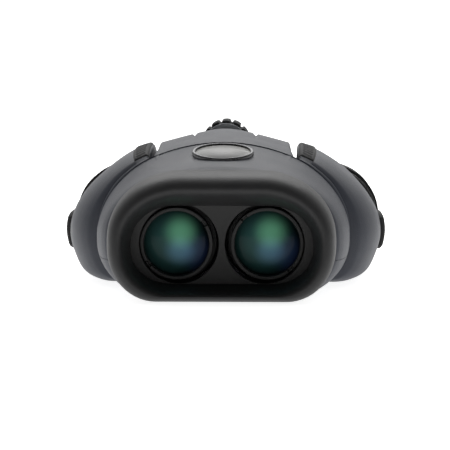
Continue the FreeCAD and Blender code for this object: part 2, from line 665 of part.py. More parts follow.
# ---------------------------------------------------------------- eyepieces and eyecups
for side, sign in SIDES:
    at = {"x": f"{sign} * eye_x", "z": "eye_z"}
    part(f"{side}_eyepiece_tube", tube("tube_radius", "tube_bore", "wing_back - 2", "tube_back - wing_back + 2", **at))
    play = 0 if side == "left" else 0.05
    cell = tube(f"tube_bore - {play}", "11", "wing_back + 0.5", "14.5", **at)
    stop = tube("11.5", "9.6", "wing_back + 8.4", "1.2", **at)
    part(f"{side}_ocular_cell", fuse(cell, stop))
    field = Part.makeCylinder(11, 3.4, Vector(sign * EYE_X, 37.4, EYE_Z), Vector(0, 1, 0))
    part(f"{side}_field_lens", shaped(field.common(Part.makeSphere(30, Vector(sign * EYE_X, 67.0, EYE_Z)))))
    eye = Part.makeCylinder(11, 3.6, Vector(sign * EYE_X, 43.0, EYE_Z), Vector(0, 1, 0))
    part(f"{side}_eye_lens", shaped(eye.common(Part.makeSphere(26, Vector(sign * EYE_X, 20.5, EYE_Z)))))
    ring = tube("collar_radius", f"tube_radius + {play}", "collar_front", "collar_length", **at)
    if side == "left":
        part("left_eyepiece_collar", ring)
    else:
        notches = []
        for i in range(24):
            angle = 2 * math.pi * i / 24
            notches.append(rod("0.8", "collar_front + 1.2", "collar_length", f"{sign} * eye_x + {18.0 * math.cos(angle):.4f}",
                               f"eye_z + {18.0 * math.sin(angle):.4f}"))
        part("diopter_ring", cut(ring, *notches))
    part(f"{side}_eyecup_guide", tube("16.1", "tube_radius + 0.05", "cup_front + 1", "4", **at))
    sleeve = tube("17.1", "16.15", "cup_front", "14", **at)
    lip = tube("17.1", "14.6", "cup_front + 12", "2", **at)
    part(f"{side}_eyecup_sleeve", fuse(sleeve, lip))
    rubber = [rod("cup_radius", "cup_front", "14.6", **at), cone("cup_radius", "cup_radius - 1.4", "cup_front + 14.6", "2.8", **at)]
    hollow = [rod("17.1", "cup_front - 1", "15", **at), cone("14.6", "16.2", "cup_front + 13.9", "4", **at)]
    part(f"{side}_eyecup_rubber", cut(fuse(*rubber), *hollow))


# ---------------------------------------------------------------- badge, tripod bush and case screws
part("nameplate_bezel", shaped(oval(10.0, 7.3, -1.6, 0.9).cut(oval(8.9, 6.2, -0.9, 1.5))))
dome = Part.makeSphere(60, Vector(0, 0, -58.3))
dome.Placement = BADGE_PLACE.multiply(dome.Placement)
part("nameplate", shaped(oval(8.9, 6.2, -0.9, 2.0).common(dome)))

body = doc.addObject("PartDesign::Body", "bush_body")
plane = next(f for f in body.Origin.OriginFeatures if f.Role == "XY_Plane")
rounds = []
for name in ("bush_round", "socket_round"):
    sketch = body.newObject("Sketcher::SketchObject", name)
    sketch.AttachmentSupport = [(plane, "")]
    sketch.MapMode = "FlatFace"
    rounds.append(sketch)
circle(rounds[0], "outside", 0, 0, "bush_radius")
circle(rounds[1], "bore", 0, 0, "socket_radius")
blank = body.newObject("PartDesign::Pad", "blank")
blank.Profile = rounds[0]
bind(blank, Length="socket_depth + 0.5")
doc.recompute()
bore = body.newObject("PartDesign::Pocket", "socket")
bore.Profile = rounds[1]
bore.Reversed = True
bind(bore, Length="socket_depth")
body.Tip = bore
part("tripod_bush", place(body, 0, SOCKET_Y, 0))

screws = []
for x, y in SCREW_SPOTS:
    head = upright("2.1", x, y, "0.3", "1.1")
    cross = [centred_box("1.3", f"{y} - 0.25", "0.2", "0.5", "0.6", x), centred_box("0.25", f"{y} - 1.3", "0.2", "2.6", "0.6", x)]
    screws.append(cut(head, *cross))
part("case_screws", group(*screws))


# ---------------------------------------------------------------- checks and export
doc.recompute()
for thing in doc.Objects:
    if {"Invalid", "Error"} & set(thing.State):
        raise RuntimeError(f"{thing.Label} did not recompute")
os.makedirs("parts", exist_ok=True)
for node, thing in parts.items():
    if thing.Shape.isNull() or not thing.Shape.isValid():
        raise RuntimeError(f"{node} has no valid shape")
    thing.Shape.exportStep(f"parts/{node}.step")
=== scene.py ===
"""The looks of a pair of compact reverse-Porro binoculars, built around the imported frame.

Outlines are written in millimetres in the frame's own axes and turned to metres when a mesh is made.
The hood faces -Y, the eyecups face +Y and +Z is up.
"""
import json
import math

import bmesh
import bpy
import numpy as np
from mathutils import Matrix, Vector

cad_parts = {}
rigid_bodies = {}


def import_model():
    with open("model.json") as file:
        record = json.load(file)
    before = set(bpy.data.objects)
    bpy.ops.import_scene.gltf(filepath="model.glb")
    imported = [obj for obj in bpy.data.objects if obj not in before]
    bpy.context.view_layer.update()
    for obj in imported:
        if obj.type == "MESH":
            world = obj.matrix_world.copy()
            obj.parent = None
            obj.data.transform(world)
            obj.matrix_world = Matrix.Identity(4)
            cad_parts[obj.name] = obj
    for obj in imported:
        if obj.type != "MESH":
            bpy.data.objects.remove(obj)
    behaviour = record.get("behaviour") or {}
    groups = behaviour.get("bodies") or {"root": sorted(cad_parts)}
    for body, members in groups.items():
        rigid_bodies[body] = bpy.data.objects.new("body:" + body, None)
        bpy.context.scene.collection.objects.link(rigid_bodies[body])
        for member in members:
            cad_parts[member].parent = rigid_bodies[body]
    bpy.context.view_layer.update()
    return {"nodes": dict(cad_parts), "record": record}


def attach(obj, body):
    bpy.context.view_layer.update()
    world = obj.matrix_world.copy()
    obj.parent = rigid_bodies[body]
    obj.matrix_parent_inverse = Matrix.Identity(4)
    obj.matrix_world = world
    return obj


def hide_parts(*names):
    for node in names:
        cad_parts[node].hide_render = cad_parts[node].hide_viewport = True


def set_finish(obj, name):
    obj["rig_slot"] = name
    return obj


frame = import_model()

MM = 0.001
HINGE = (14.4, 17.4)
EYE = (36.3, 18.6)
SIDES = (("left", 1), ("right", -1))
HUB = 13.0  # the wing's round inner wall about its hinge
WING_FRONT, WING_BACK = -19.5, 33.0
BODY_FRONT, BODY_BACK = -42.9, -20.0
PARTING = 12.0  # where the upper and lower shells meet
PARTING_GAP = 0.07
LENS_RADIUS, LENS_CURVE, LENS_FRONT = 10.48, 38.0, -40.92
COLLAR_RADIUS, COLLAR_STEPS, RING_RIBS = 17.35, 288, 48


# ---------------------------------------------------------------- mesh helpers
def obj_from(name, points, faces, sharp=32.0):
    """A mesh object from millimetre points; edges steeper than sharp degrees stay crisp."""
    mesh = bpy.data.meshes.new(name)
    mesh.from_pydata([tuple(float(v) * MM for v in p) for p in points], [], faces)
    thing = bpy.data.objects.new(name, mesh)
    bpy.context.scene.collection.objects.link(thing)
    tidy(thing, sharp)
    return thing


def tidy(thing, sharp=32.0, merge=1e-7):
    bm = bmesh.new()
    bm.from_mesh(thing.data)
    bmesh.ops.remove_doubles(bm, verts=bm.verts, dist=merge)
    bmesh.ops.dissolve_degenerate(bm, edges=bm.edges, dist=merge)
    bmesh.ops.recalc_face_normals(bm, faces=bm.faces)
    bm.to_mesh(thing.data)
    bm.free()
    for face in thing.data.polygons:
        face.use_smooth = True
    thing.data.set_sharp_from_angle(angle=math.radians(sharp))
    return thing


def skin(name, rings, loop=False, caps=True, sharp=32.0):
    """Quads between rings of equal count; loop joins the last ring to the first."""
    count = len(rings[0])
    points = [p for ring in rings for p in ring]
    faces = []
    spans = len(rings) if loop else len(rings) - 1
    for a in range(spans):
        b = (a + 1) % len(rings)
        for i in range(count):
            j = (i + 1) % count
            faces.append((a * count + i, a * count + j, b * count + j, b * count + i))
    if caps and not loop:
        faces.append(tuple(range(count))[::-1])
        faces.append(tuple(range((len(rings) - 1) * count, len(rings) * count)))
    return obj_from(name, points, faces, sharp)


def polar(centre, radius, angle):
    """The point (x, z) at a radius and an angle about a centre."""
    return centre[0] + radius * math.cos(angle), centre[1] + radius * math.sin(angle)


def circle_at(centre, radius, y, count, phase=0.0):
    """Evenly spaced points round a line along Y."""
    ring = []
    for i in range(count):
        x, z = polar(centre, radius, 2 * math.pi * i / count + phase)
        ring.append((x, y, z))
    return ring


def turned(name, profile, centre, steps=96, loop=True, sharp=32.0):
    """A solid turned about a line along Y through centre (x, z); profile holds (radius, y)."""
    rings = [circle_at(centre, radius, y, steps) for radius, y in profile]
    return skin(name, rings, loop=loop, caps=not loop, sharp=sharp)


def fillet(profile, radius, steps=4):
    """A closed run of 2-D points with every corner rounded; radius is a number or one per point."""
    count = len(profile)
    radii = radius if isinstance(radius, (list, tuple)) else [radius] * count
    made = []
    for i in range(count):
        a, p, b = (Vector(profile[(i + k) % count]) for k in (-1, 0, 1))
        u, v = (a - p), (b - p)
        reach = min(u.length, v.length) * 0.49
        turn = u.angle(v) if u.length > 1e-6 and v.length > 1e-6 else math.pi
        cut = min(radii[i] / max(math.tan(turn / 2), 1e-3), reach)
        if cut < 0.01 or turn > math.radians(172):
            made.append(tuple(p))
            continue
        start, end = p + u.normalized() * cut, p + v.normalized() * cut
        for k in range(steps + 1):
            t = k / steps
            made.append(tuple(start * (1 - t) ** 2 + p * 2 * t * (1 - t) + end * t * t))
    return made


def curve_through(points, count, closed=False):
    """A centripetal Catmull-Rom curve through the points."""
    pts = [np.array(p, float) for p in points]
    if closed:
        pts = [pts[-1]] + pts + [pts[0], pts[1]]
    else:
        pts = [2 * pts[0] - pts[1]] + pts + [2 * pts[-1] - pts[-2]]
    made = []
    spans = len(pts) - 3
    for s in range(spans):
        p0, p1, p2, p3 = pts[s:s + 4]
        t = [0.0]
        for a, b in ((p0, p1), (p1, p2), (p2, p3)):
            t.append(t[-1] + max(np.linalg.norm(b - a), 1e-6) ** 0.5)
        for k in range(count):
            x = t[1] + (t[2] - t[1]) * k / count
            a1 = (t[1] - x) / (t[1] - t[0]) * p0 + (x - t[0]) / (t[1] - t[0]) * p1
            a2 = (t[2] - x) / (t[2] - t[1]) * p1 + (x - t[1]) / (t[2] - t[1]) * p2
            a3 = (t[3] - x) / (t[3] - t[2]) * p2 + (x - t[2]) / (t[3] - t[2]) * p3
            b1 = (t[2] - x) / (t[2] - t[0]) * a1 + (x - t[0]) / (t[2] - t[0]) * a2
            b2 = (t[3] - x) / (t[3] - t[1]) * a2 + (x - t[1]) / (t[3] - t[1]) * a3
            made.append(tuple((t[2] - x) / (t[2] - t[1]) * b1 + (x - t[1]) / (t[2] - t[1]) * b2))
    if not closed:
        made.append(tuple(pts[-2]))
    return made


def grown(ring, depth):
    """A ring of (x, z) moved outwards by depth, or inwards where it is negative."""
    pts = np.array(ring, float)
    ahead, behind = np.roll(pts, -1, axis=0), np.roll(pts, 1, axis=0)
    tangent = ahead - behind
    normal = np.column_stack([tangent[:, 1], -tangent[:, 0]])
    normal /= np.maximum(np.linalg.norm(normal, axis=1), 1e-9)[:, None]
    area = np.sum(pts[:, 0] * ahead[:, 1] - ahead[:, 0] * pts[:, 1])
    moved = pts + normal * depth * (1 if area > 0 else -1)
    return [tuple(p) for p in moved]


def at_y(ring, y):
    return [(x, y, z) for x, z in ring]


def boolean(thing, cutter, operation="DIFFERENCE"):
    """Applies one boolean between closed meshes and removes the cutter."""
    modifier = thing.modifiers.new("cut", "BOOLEAN")
    modifier.operation = operation
    modifier.solver = "MANIFOLD"
    modifier.object = cutter
    apply_modifiers(thing)
    bpy.data.objects.remove(cutter)
    return tidy(thing)


def apply_modifiers(thing):
    bpy.context.view_layer.update()
    graph = bpy.context.evaluated_depsgraph_get()
    mesh = bpy.data.meshes.new_from_object(thing.evaluated_get(graph))
    old = thing.data
    thing.modifiers.clear()
    thing.data = mesh
    bpy.data.meshes.remove(old)
    return thing


def keep_side(thing, point, normal, sharp=32.0):
    """Cuts away what lies in front of a plane and closes the cut."""
    bm = bmesh.new()
    bm.from_mesh(thing.data)
    everything = bm.verts[:] + bm.edges[:] + bm.faces[:]
    cut = bmesh.ops.bisect_plane(bm, geom=everything, plane_co=Vector(point) * MM, plane_no=normal,
                                 clear_outer=True)
    edges = [e for e in cut["geom_cut"] if isinstance(e, bmesh.types.BMEdge)]
    bmesh.ops.holes_fill(bm, edges=edges, sides=0)
    bm.to_mesh(thing.data)
    bm.free()
    return tidy(thing, sharp)


def copy_of(thing, name):
    made = bpy.data.objects.new(name, thing.data.copy())
    bpy.context.scene.collection.objects.link(made)
    return made


def join(name, things):
    """Several meshes as one object."""
    points, faces, shift = [], [], 0
    for thing in things:
        points += [tuple(v.co / MM) for v in thing.data.vertices]
        faces += [tuple(i + shift for i in f.vertices) for f in thing.data.polygons]
        shift = len(points)
        bpy.data.objects.remove(thing)
    return obj_from(name, points, faces)


def block(name, low, high, radius=0.4, steps=3, axis=1):
    """A box with rounded edges: a rounded section swept along one axis with drawn-in ends."""
    order = {0: (1, 2, 0), 1: (0, 2, 1), 2: (0, 1, 2)}[axis]
    a, b, c = order
    corners = [(low[a], low[b]), (high[a], low[b]), (high[a], high[b]), (low[a], high[b])]
    section = fillet(corners, radius, steps)
    rings = []
    ends = [(low[c], 1, k) for k in range(steps + 1)] + [(high[c], -1, steps - k) for k in range(steps + 1)]
    for value, direction, k in ends:
        turn = math.pi / 2 * k / steps
        inset = -radius * (1 - math.sin(turn)) * 0.98
        shift = value + direction * radius * (1 - math.cos(turn))
        ring = []
        for u, v in grown(section, inset):
            point = [0, 0, 0]
            point[a], point[b], point[c] = u, v, shift
            ring.append(tuple(point))
        rings.append(ring)
    return skin(name, rings)


# ---------------------------------------------------------------- outlines
def oval_box(half, top, low, top_corner, low_corner, crown=0.0, corner_steps=14):
    """An outline symmetric in x: flat foot, elliptical corners, upright sides and a crowned top."""
    (tx, tz), (lx, lz) = top_corner, low_corner
    foot, shoulder, side_low, side_top = half - lx, half - tx, low + lz, top - tz
    corner_top = top - 2 * crown * (half - shoulder) / shoulder
    weight = math.sqrt(0.5)

    def conic(start, middle, end, steps):
        made = []
        for k in range(steps):
            t = k / steps
            w = ((1 - t) ** 2, 2 * weight * t * (1 - t), t * t)
            total = sum(w)
            made.append(tuple(sum(s * p[i] for s, p in zip(w, (start, middle, end))) / total for i in (0, 1)))
        return made

    right = [(foot * k / 5, low) for k in range(5)]
    right += conic((foot, low), (half, low), (half, side_low), corner_steps)
    right += [(half, side_low + (side_top - side_low) * k / 3) for k in range(3)]
    right += conic((half, side_top), (half, corner_top), (shoulder, top), corner_steps)
    for k in range(8):
        x = shoulder * (1 - k / 8)
        right.append((x, top + crown * (1 - (x / shoulder) ** 2)))
    return right + [(0.0, top + crown)] + [(-x, z) for x, z in reversed(right[1:])]


def between(stations, y):
    """The numbers of an outline at y, eased between the stations on either side."""
    if y <= stations[0][0]:
        return stations[0][1:]
    for k in range(len(stations) - 1):
        a, b = stations[k], stations[k + 1]
        if a[0] <= y <= b[0]:
            before, after = stations[max(k - 1, 0)], stations[min(k + 2, len(stations) - 1)]
            t = (y - a[0]) / (b[0] - a[0])

            def ease(p, q, r, s):
                if isinstance(q, tuple):
                    return tuple(ease(*four) for four in zip(p, q, r, s))
                span = b[0] - a[0]
                m1 = (r - p) / max(b[0] - before[0], 1e-6) * span
                m2 = (s - q) / max(after[0] - a[0], 1e-6) * span
                t2, t3 = t * t, t * t * t
                leaving = (2 * t3 - 3 * t2 + 1) * q + (t3 - 2 * t2 + t) * m1
                return leaving + (3 * t2 - 2 * t3) * r + (t3 - t2) * m2

            return tuple(ease(p, q, r, s) for p, q, r, s in zip(before[1:], a[1:], b[1:], after[1:]))
    return stations[-1][1:]


# ---------------------------------------------------------------- the hood
HOOD = [
    (-43.0, 28.9, 29.5, 4.6, (14, 12.2), (13, 10.8)),
    (-43.6, 29.0, 29.8, 4.5, (14.2, 12.4), (13.1, 11.0)),
    (-47.0, 29.4, 30.9, 4.1, (15.5, 13.2), (13.4, 11.9)),
    (-50.5, 29.9, 31.9, 3.8, (16.9, 13.9), (13.7, 12.8)),
    (-53.6, 30.4, 32.9, 3.5, (17.9, 14.4), (14, 13.4)),
    (-55.0, 30.7, 33.5, 3.25, (18.3, 14.8), (14.2, 13.7)),
    (-56.0, 31.1, 34.1, 3.0, (18.8, 15.3), (14.4, 14)),
    (-56.6, 31.6, 34.7, 2.7, (19.4, 15.9), (14.6, 14.4)),
    (-56.9, 32.2, 35.5, 2.35, (20.1, 16.7), (14.7, 14.8)),
    (-56.8, 32.9, 36.3, 2.0, (20.8, 17.5), (14.8, 15.1)),
    (-56.2, 33.8, 37.4, 1.5, (21.6, 18.5), (15, 15.5)),
    (-55.0, 34.7, 38.6, 0.9, (22.5, 19.5), (15, 16)),
    (-53.2, 35.4, 39.6, 0.35, (23.2, 20.3), (15, 16.6)),
    (-50.6, 35.8, 40.3, 0.06, (23.8, 20.8), (15, 16.9)),
    (-47.4, 36.0, 40.8, 0.0, (24, 21), (15, 17)),
    (-44.6, 36.05, 41.0, 0.0, (24, 21), (15, 17)),
    (-43.75, 35.9, 40.85, 0.0, (24, 21), (15, 17)),
    (-43.35, 35.5, 40.4, 0.4, (23.6, 20.6), (14.8, 16.6)),
    (-43.0, 34.8, 39.7, 1.1, (23, 20), (14.4, 16)),
]
hood = skin("hood", [at_y(oval_box(*sizes), y) for y, *sizes in HOOD], loop=True, sharp=50)
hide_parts("objective_hood")
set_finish(hood, "hood_armour")
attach(hood, "main_body")

# ---------------------------------------------------------------- the front body
BODY = [
    (-43.0, 36.2, 40.4, 0.0, (23, 21.4), (15, 17), 0.6),
    (-38.0, 38.8, 41.2, 0.0, (23.3, 22.2), (16, 17), 1.5),
    (-30.0, 40.8, 41.9, 0.0, (21.3, 22.9), (17, 16.8), 3.3),
    (-20.0, 41.4, 43.4, 0.0, (17.9, 24.4), (17.4, 16.6), 5.0),
]


def body_ring(y, depth=0.0):
    ring = oval_box(*between(BODY, y))
    return grown(ring, -depth) if depth else ring


def body_back_ring(depth):
    """The rear outline drawn in by depth, but not under the roof, where nose and roof run on."""
    ring = body_ring(BODY_BACK)
    made = []
    for (x, z), (inner_x, inner_z) in zip(ring, grown(ring, -depth)):
        share = min(1.0, max(0.0, (abs(x) - 22.5) / 2.5)) if z > 30.0 else 1.0
        made.append((x + (inner_x - x) * share, z + (inner_z - z) * share))
    return made


body_rings = []
BODY_EDGE = 1.1
for k in range(5):
    turn = math.pi / 2 * k / 4
    drawn, along = 0.7 * (1 - math.sin(turn)), 0.7 * (1 - math.cos(turn))
    body_rings.append(at_y(body_ring(BODY_FRONT, drawn), BODY_FRONT + along))
for y in np.linspace(-41.6, BODY_BACK - BODY_EDGE - 0.1, 22):
    body_rings.append(at_y(body_ring(y), y))
for k in range(6):
    turn = math.pi / 2 * k / 5
    drawn, along = BODY_EDGE * (1 - math.cos(turn)), BODY_EDGE * (1 - math.sin(turn))
    body_rings.append(at_y(body_back_ring(drawn), BODY_BACK - along))
for y in np.linspace(BODY_BACK, BODY_FRONT, 10):
    body_rings.append(at_y(body_ring(y, 1.8), y))
shell = skin("shell", body_rings, loop=True, sharp=40)
lower_body = keep_side(copy_of(shell, "lower_body"), (0, 0, PARTING - PARTING_GAP), (0, 0, 1))
upper_front = keep_side(shell, (0, 0, PARTING + PARTING_GAP), (0, 0, -1))
upper_front.name = "upper_body"

# ---------------------------------------------------------------- the roof with its wheel channel
RIDGE = [(-25.0, 46.7), (-20.0, 48.42), (-10.0, 50.5), (0.0, 51.6), (10.0, 51.0), (20.0, 49.2), (33.5, 45.2)]
ROOF_HALF = 23.2


def ridge(y):
    return between([(a, b) for a, b in RIDGE], y)[0]


def roof_ring(y, drawn=0.0):
    """Undercut wall, rounded shoulder, and a crowned top with a groove beside the channel."""
    top = ridge(y)
    groove = 0.9 * min(1.0, max(0.0, (y + 9.0) / 8.0))
    half = ROOF_HALF
    right = [(6.0, 33.0), (12.0, 33.0), (18.6, 33.0), (19.7, 33.2), (20.5, 34.0), (22.0, 36.6), (22.6, 39.0),
             (half, 41.2)]
    behind = min(1.0, max(0.0, (y + 20.0) / 12.0))
    behind = behind * behind * (3 - 2 * behind)

    def drop(x):
        """How far the crown has fallen at x: the nose's own curve in front, a soft-ridged tent behind."""
        return (1 - behind) * 0.00905 * x * x + behind * 0.283 * (math.sqrt(x * x + 36.0) - 6.0)

    lean, soft = 1.2 * behind, 2.4 - 1.3 * behind
    shoulder = top - drop(half - lean - soft)
    for k in range(7):
        turn = math.pi / 2 * k / 6
        right.append((half - lean - soft * (1 - math.cos(turn)),
                      shoulder - soft + soft * math.sin(turn) * 0.98))
    for x in (19.0, 17.0, 15.0, 13.0, 11.9, 11.3, 11.0, 10.7, 10.35, 10.0, 9.7, 9.2, 8.0, 6.4, 4.8, 3.2, 1.6):
        dip = max(0.0, 1 - abs(x - 10.35) / 0.75)
        right.append((x, top - drop(x) - groove * dip ** 0.7))
    ring = [(0.0, 33.0)] + right + [(0.0, top)] + [(-x, z) for x, z in reversed(right)]
    return [(x * (1 - drawn / half), 40.0 + (z - 40.0) * (1 - drawn / 9.0)) for x, z in ring]


roof_rings = [at_y(roof_ring(y), y) for y in np.linspace(-24.0, 31.5, 46)]
for k in range(1, 6):
    turn = math.pi / 2 * k / 5
    roof_rings.append(at_y(roof_ring(33.5, 1.9 * (1 - math.cos(turn))), 31.5 + 1.9 * math.sin(turn)))
roof = skin("roof", roof_rings, sharp=38)
channel = block("channel_cut", (-10.4, 10.0, 35.8), (10.4, 31.4, 60.0), radius=1.2, axis=2)
roof = boolean(roof, channel)
shaft_hole = turned("shaft_cut", [(3.0, 4.0), (3.0, 12.0)], (0, 45.4), steps=40, loop=False)
roof = boolean(roof, shaft_hole)
roof = boolean(roof, turned("shaft_end_cut", [(1.66, 30.0), (1.66, 33.2)], (0, 45.4), steps=40, loop=False))
inner_rings = []
for y in np.linspace(-30.0, 7.4, 12):
    top = ridge(y) - 1.9
    crown = [(x, top - 0.0098 * x * x) for x in np.linspace(20.0, -20.0, 21)]
    wall_right, wall_left = [(20.4, 37.0), (21.2, 41.0)], [(-21.2, 41.0), (-20.4, 37.0)]
    inner_rings.append(at_y([(-18.0, 30.0), (18.0, 30.0)] + wall_right + crown + wall_left, y))
roof = boolean(roof, skin("roof_space", inner_rings))
beam_cut = block("beam_cut", (-9.05, -25.0, 30.0), (9.05, 34.5, 34.65), radius=0.2)
roof = boolean(roof, beam_cut)
inside_body = skin("body_space", [at_y(body_ring(y, 1.7), y) for y in np.linspace(-44.0, -19.98, 8)])
roof = boolean(roof, inside_body)

# ---------------------------------------------------------------- wings
WING_MIDDLE = [(24.7, 46.2), (31.5, 43.9), (40.0, 38.2), (47.8, 30.6), (52.0, 23.6), (53.4, 16.6),
               (51.9, 9.5), (48.4, 3.2), (42.6, 0.4), (35.8, 0.0), (26.0, 2.0)]
WING_FRONT_REACH = [27.4, 27.5, 27.5, 27.5, 27.5, 27.5, 27.4, 27.0, 26.0, 22.9, 17.4]
WING = [(-19.5, 0.0, 0.0), (-14.0, 0.5, 0.0), (-6.0, 0.84, 0.0), (4.0, 0.98, 0.0), (14.0, 1.0, 0.0),
        (24.0, 0.99, 2.0), (30.5, 0.97, 5.4), (33.0, 0.96, 7.4)]
SPAN = 12
OUTER = 10 * SPAN


def wing_corners(y):
    share, drop = between(WING, y)
    corners = []
    for i, ((x, z), front) in enumerate(zip(WING_MIDDLE, WING_FRONT_REACH)):
        reach = math.hypot(x - HINGE[0], z - HINGE[1])
        scale = (front + (reach - front) * share) / reach
        x, z = HINGE[0] + (x - HINGE[0]) * scale, HINGE[1] + (z - HINGE[1]) * scale
        if i == 0:
            x, z = max(x, 24.5), z - drop
        elif i == 1:
            z -= drop * 0.35
        corners.append((x, max(z, 0.0)))
    return corners


def wing_ring(y):
    """The outside from the top inner corner to the foot, then round the hub and up the inner wall."""
    outer = [(x, max(z, 0.02)) for x, z in curve_through(wing_corners(y), SPAN)]
    (x0, z0), (x1, z1) = outer[0], outer[2]
    outer[0] = (x0 + 0.75, z0 - 0.42)
    outer[1] = ((outer[1][0] + x1) / 2 + 0.12, (outer[1][1] + z1) / 2 - 0.02)
    hub = []
    for k in range(34):
        angle = math.radians(-60 - 239 * k / 33)
        hub.append(polar(HINGE, HUB, angle))
    wall = [(21.6, 29.7), (23.0, 31.2), (23.9, 32.6), (24.3, 34.2)]
    top = z0 - 1.3
    wall += [(24.4 + (x0 - 24.4) * k / 4, 34.2 + (top - 34.2) * k / 4) for k in range(1, 5)]
    wall.append((x0 + 0.18, z0 - 0.8))
    return outer + hub + wall


def bore_ring(radius):
    """Points on the hub's bore, in step with the wing's ring."""
    outer, hub, wall = OUTER + 1, 34, 9
    angles = [66 - 123 * i / (outer - 1) for i in range(outer)]
    angles += [-60 - 239 * k / (hub - 1) for k in range(hub)]
    angles += [-299.5 + 4.5 * k / wall for k in range(wall)]
    return [polar(HINGE, radius, math.radians(a)) for a in angles]


def drawn_wing(y, depth, hub_share=0.12):
    """The ring drawn in by depth on the outside and hardly at all round the hub."""
    ring = wing_ring(y)
    inner = grown(ring, -depth)
    made = []
    for i, (a, b) in enumerate(zip(ring, inner)):
        share = 1.0 if i <= OUTER or i > OUTER + 34 else hub_share
        made.append((a[0] + (b[0] - a[0]) * share, a[1] + (b[1] - a[1]) * share))
    return made


FRONT_EDGE, BACK_EDGE = 1.6, 3.6


def wing_rings():
    bore, mouth = 12.08, 12.35
    rings = [at_y(bore_ring(bore), -11.6), at_y(bore_ring(bore), -19.35), at_y(bore_ring(mouth), WING_FRONT)]
    for k in range(6):
        turn = math.pi / 2 * k / 5
        drawn, along = FRONT_EDGE * (1 - math.sin(turn)), FRONT_EDGE * (1 - math.cos(turn))
        rings.append(at_y(drawn_wing(WING_FRONT, drawn), WING_FRONT + along))
    for y in np.linspace(-17.2, WING_BACK - BACK_EDGE - 0.3, 44):
        rings.append(at_y(wing_ring(y), y))
    for k in range(7):
        turn = math.pi / 2 * k / 6
        drawn, along = BACK_EDGE * 0.62 * (1 - math.cos(turn)), BACK_EDGE * (1 - math.sin(turn))
        rings.append(at_y(drawn_wing(WING_BACK - BACK_EDGE * 0.6, drawn), WING_BACK - along))
    for y in (WING_BACK, 31.0, 24.0, 14.0, 4.0, -6.0, -11.5):
        rings.append(at_y(drawn_wing(min(y, 30.8), 1.95 + (0.9 if y > 30 else 0), hub_share=0.95), y))
    return rings


wings = {}
base_wing = skin("left_wing_armour", wing_rings(), loop=True, sharp=42)
for side, sign in SIDES:
    if sign > 0:
        wings[side] = base_wing
    else:
        rings = [[(-x, y, z) for x, y, z in ring][::-1] for ring in wing_rings()]
        wings[side] = skin("right_wing_armour", rings, loop=True, sharp=42)
    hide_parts(f"{side}_wing_shell")
    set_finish(wings[side], "body_armour")
    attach(wings[side], f"{side}_wing")

# ---------------------------------------------------------------- upper and lower body
upper_body = join("upper_body", [upper_front, roof])
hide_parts("upper_shell")
spine = block("spine", (-8.8, -21.0, 0.0), (8.8, 33.0, 4.6), radius=0.7)
spine = boolean(spine, block("gear_room", (-9.5, -20.2, 3.4), (9.5, -15.6, 6.0), radius=0.2))
lower_body = join("lower_body", [lower_body, spine])
lower_body = boolean(lower_body, turned("bush_cut", [(4.62, 0), (4.62, 30)], (0, 0), steps=48, loop=False))
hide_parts("lower_shell")
for thing in (upper_body, lower_body):
    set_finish(thing, "body_armour")
    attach(thing, "main_body")


# ---------------------------------------------------------------- grip pads laid on the wings
outer_runs = {}


def wing_point(s, y, lift):
    """A point s spans along the wing's outside at y, lifted off the surface."""
    if y not in outer_runs:
        outer_runs[y] = curve_through(wing_corners(y), SPAN)
    outer = outer_runs[y]
    along = min(max(s, 0.0), 9.98) * SPAN
    i = int(along)
    t = along - i
    a, b = outer[i], outer[min(i + 1, len(outer) - 1)]
    x, z = a[0] + (b[0] - a[0]) * t, a[1] + (b[1] - a[1]) * t
    dx, dz = b[0] - a[0], b[1] - a[1]
    length = max(math.hypot(dx, dz), 1e-6)
    return (x - dz / length * lift, y, z + dx / length * lift)


def pad(name, sign, edge, height, relief, spans=(44, 60), base=-1.0):
    """A raised rubber pad; edge(v) gives its start and end across the wing at each place along it."""
    across, along = spans
    y0, y1 = edge["y"]
    top, bottom = [], []
    for j in range(along + 1):
        v = j / along
        y = y0 + (y1 - y0) * v
        s0, s1 = edge["across"](v)
        row_top, row_bottom = [], []
        for i in range(across + 1):
            u = i / across
            s = s0 + (s1 - s0) * u
            rim = min(u * (s1 - s0) * edge["mm"], (1 - u) * (s1 - s0) * edge["mm"],
                      v * (y1 - y0), (1 - v) * (y1 - y0))
            soft = min(1.0, rim / 0.9)
            rounded = math.sqrt(max(0.0, 1 - (1 - soft) ** 2))
            lift = base + (height - base) * rounded + relief(u, v, rim) * (rim > 0.9)
            row_top.append(wing_point(s, y, lift))
            row_bottom.append(wing_point(s, y, base))
        top.append(row_top)
        bottom.append(row_bottom)
    points = [p for row in top for p in row] + [p for row in bottom for p in row]
    if sign < 0:
        points = [(-x, y, z) for x, y, z in points]
    wide = across + 1
    shift = wide * (along + 1)
    faces = []
    for j in range(along):
        for i in range(across):
            a = j * wide + i
            faces.append((a, a + 1, a + wide + 1, a + wide))
            faces.append((a + shift, a + wide + shift, a + wide + 1 + shift, a + 1 + shift))
    edge_run = list(range(wide)) + [j * wide + across for j in range(1, along + 1)]
    edge_run += [along * wide + i for i in range(across - 1, -1, -1)]
    edge_run += [j * wide for j in range(along - 1, 0, -1)]
    for a, b in zip(edge_run, edge_run[1:] + edge_run[:1]):
        faces.append((a, b, b + shift, a + shift))
    return obj_from(name, points, faces, 50)


def ridge_wave(value, width):
    """A raised bar with soft sides, repeating once per unit."""
    phase = abs((value % 1.0) - 0.5) * 2
    return min(1.0, max(0.0, (width - phase) / 0.25))


def top_relief(u, v, rim):
    if rim < 1.2:
        return 0.05
    bars = ridge_wave(v * 14.0 + u * 0.8, 0.62)
    inside = min(1.0, (rim - 1.2) / 0.4)
    return 0.05 - 0.4 * inside + 0.4 * bars * inside


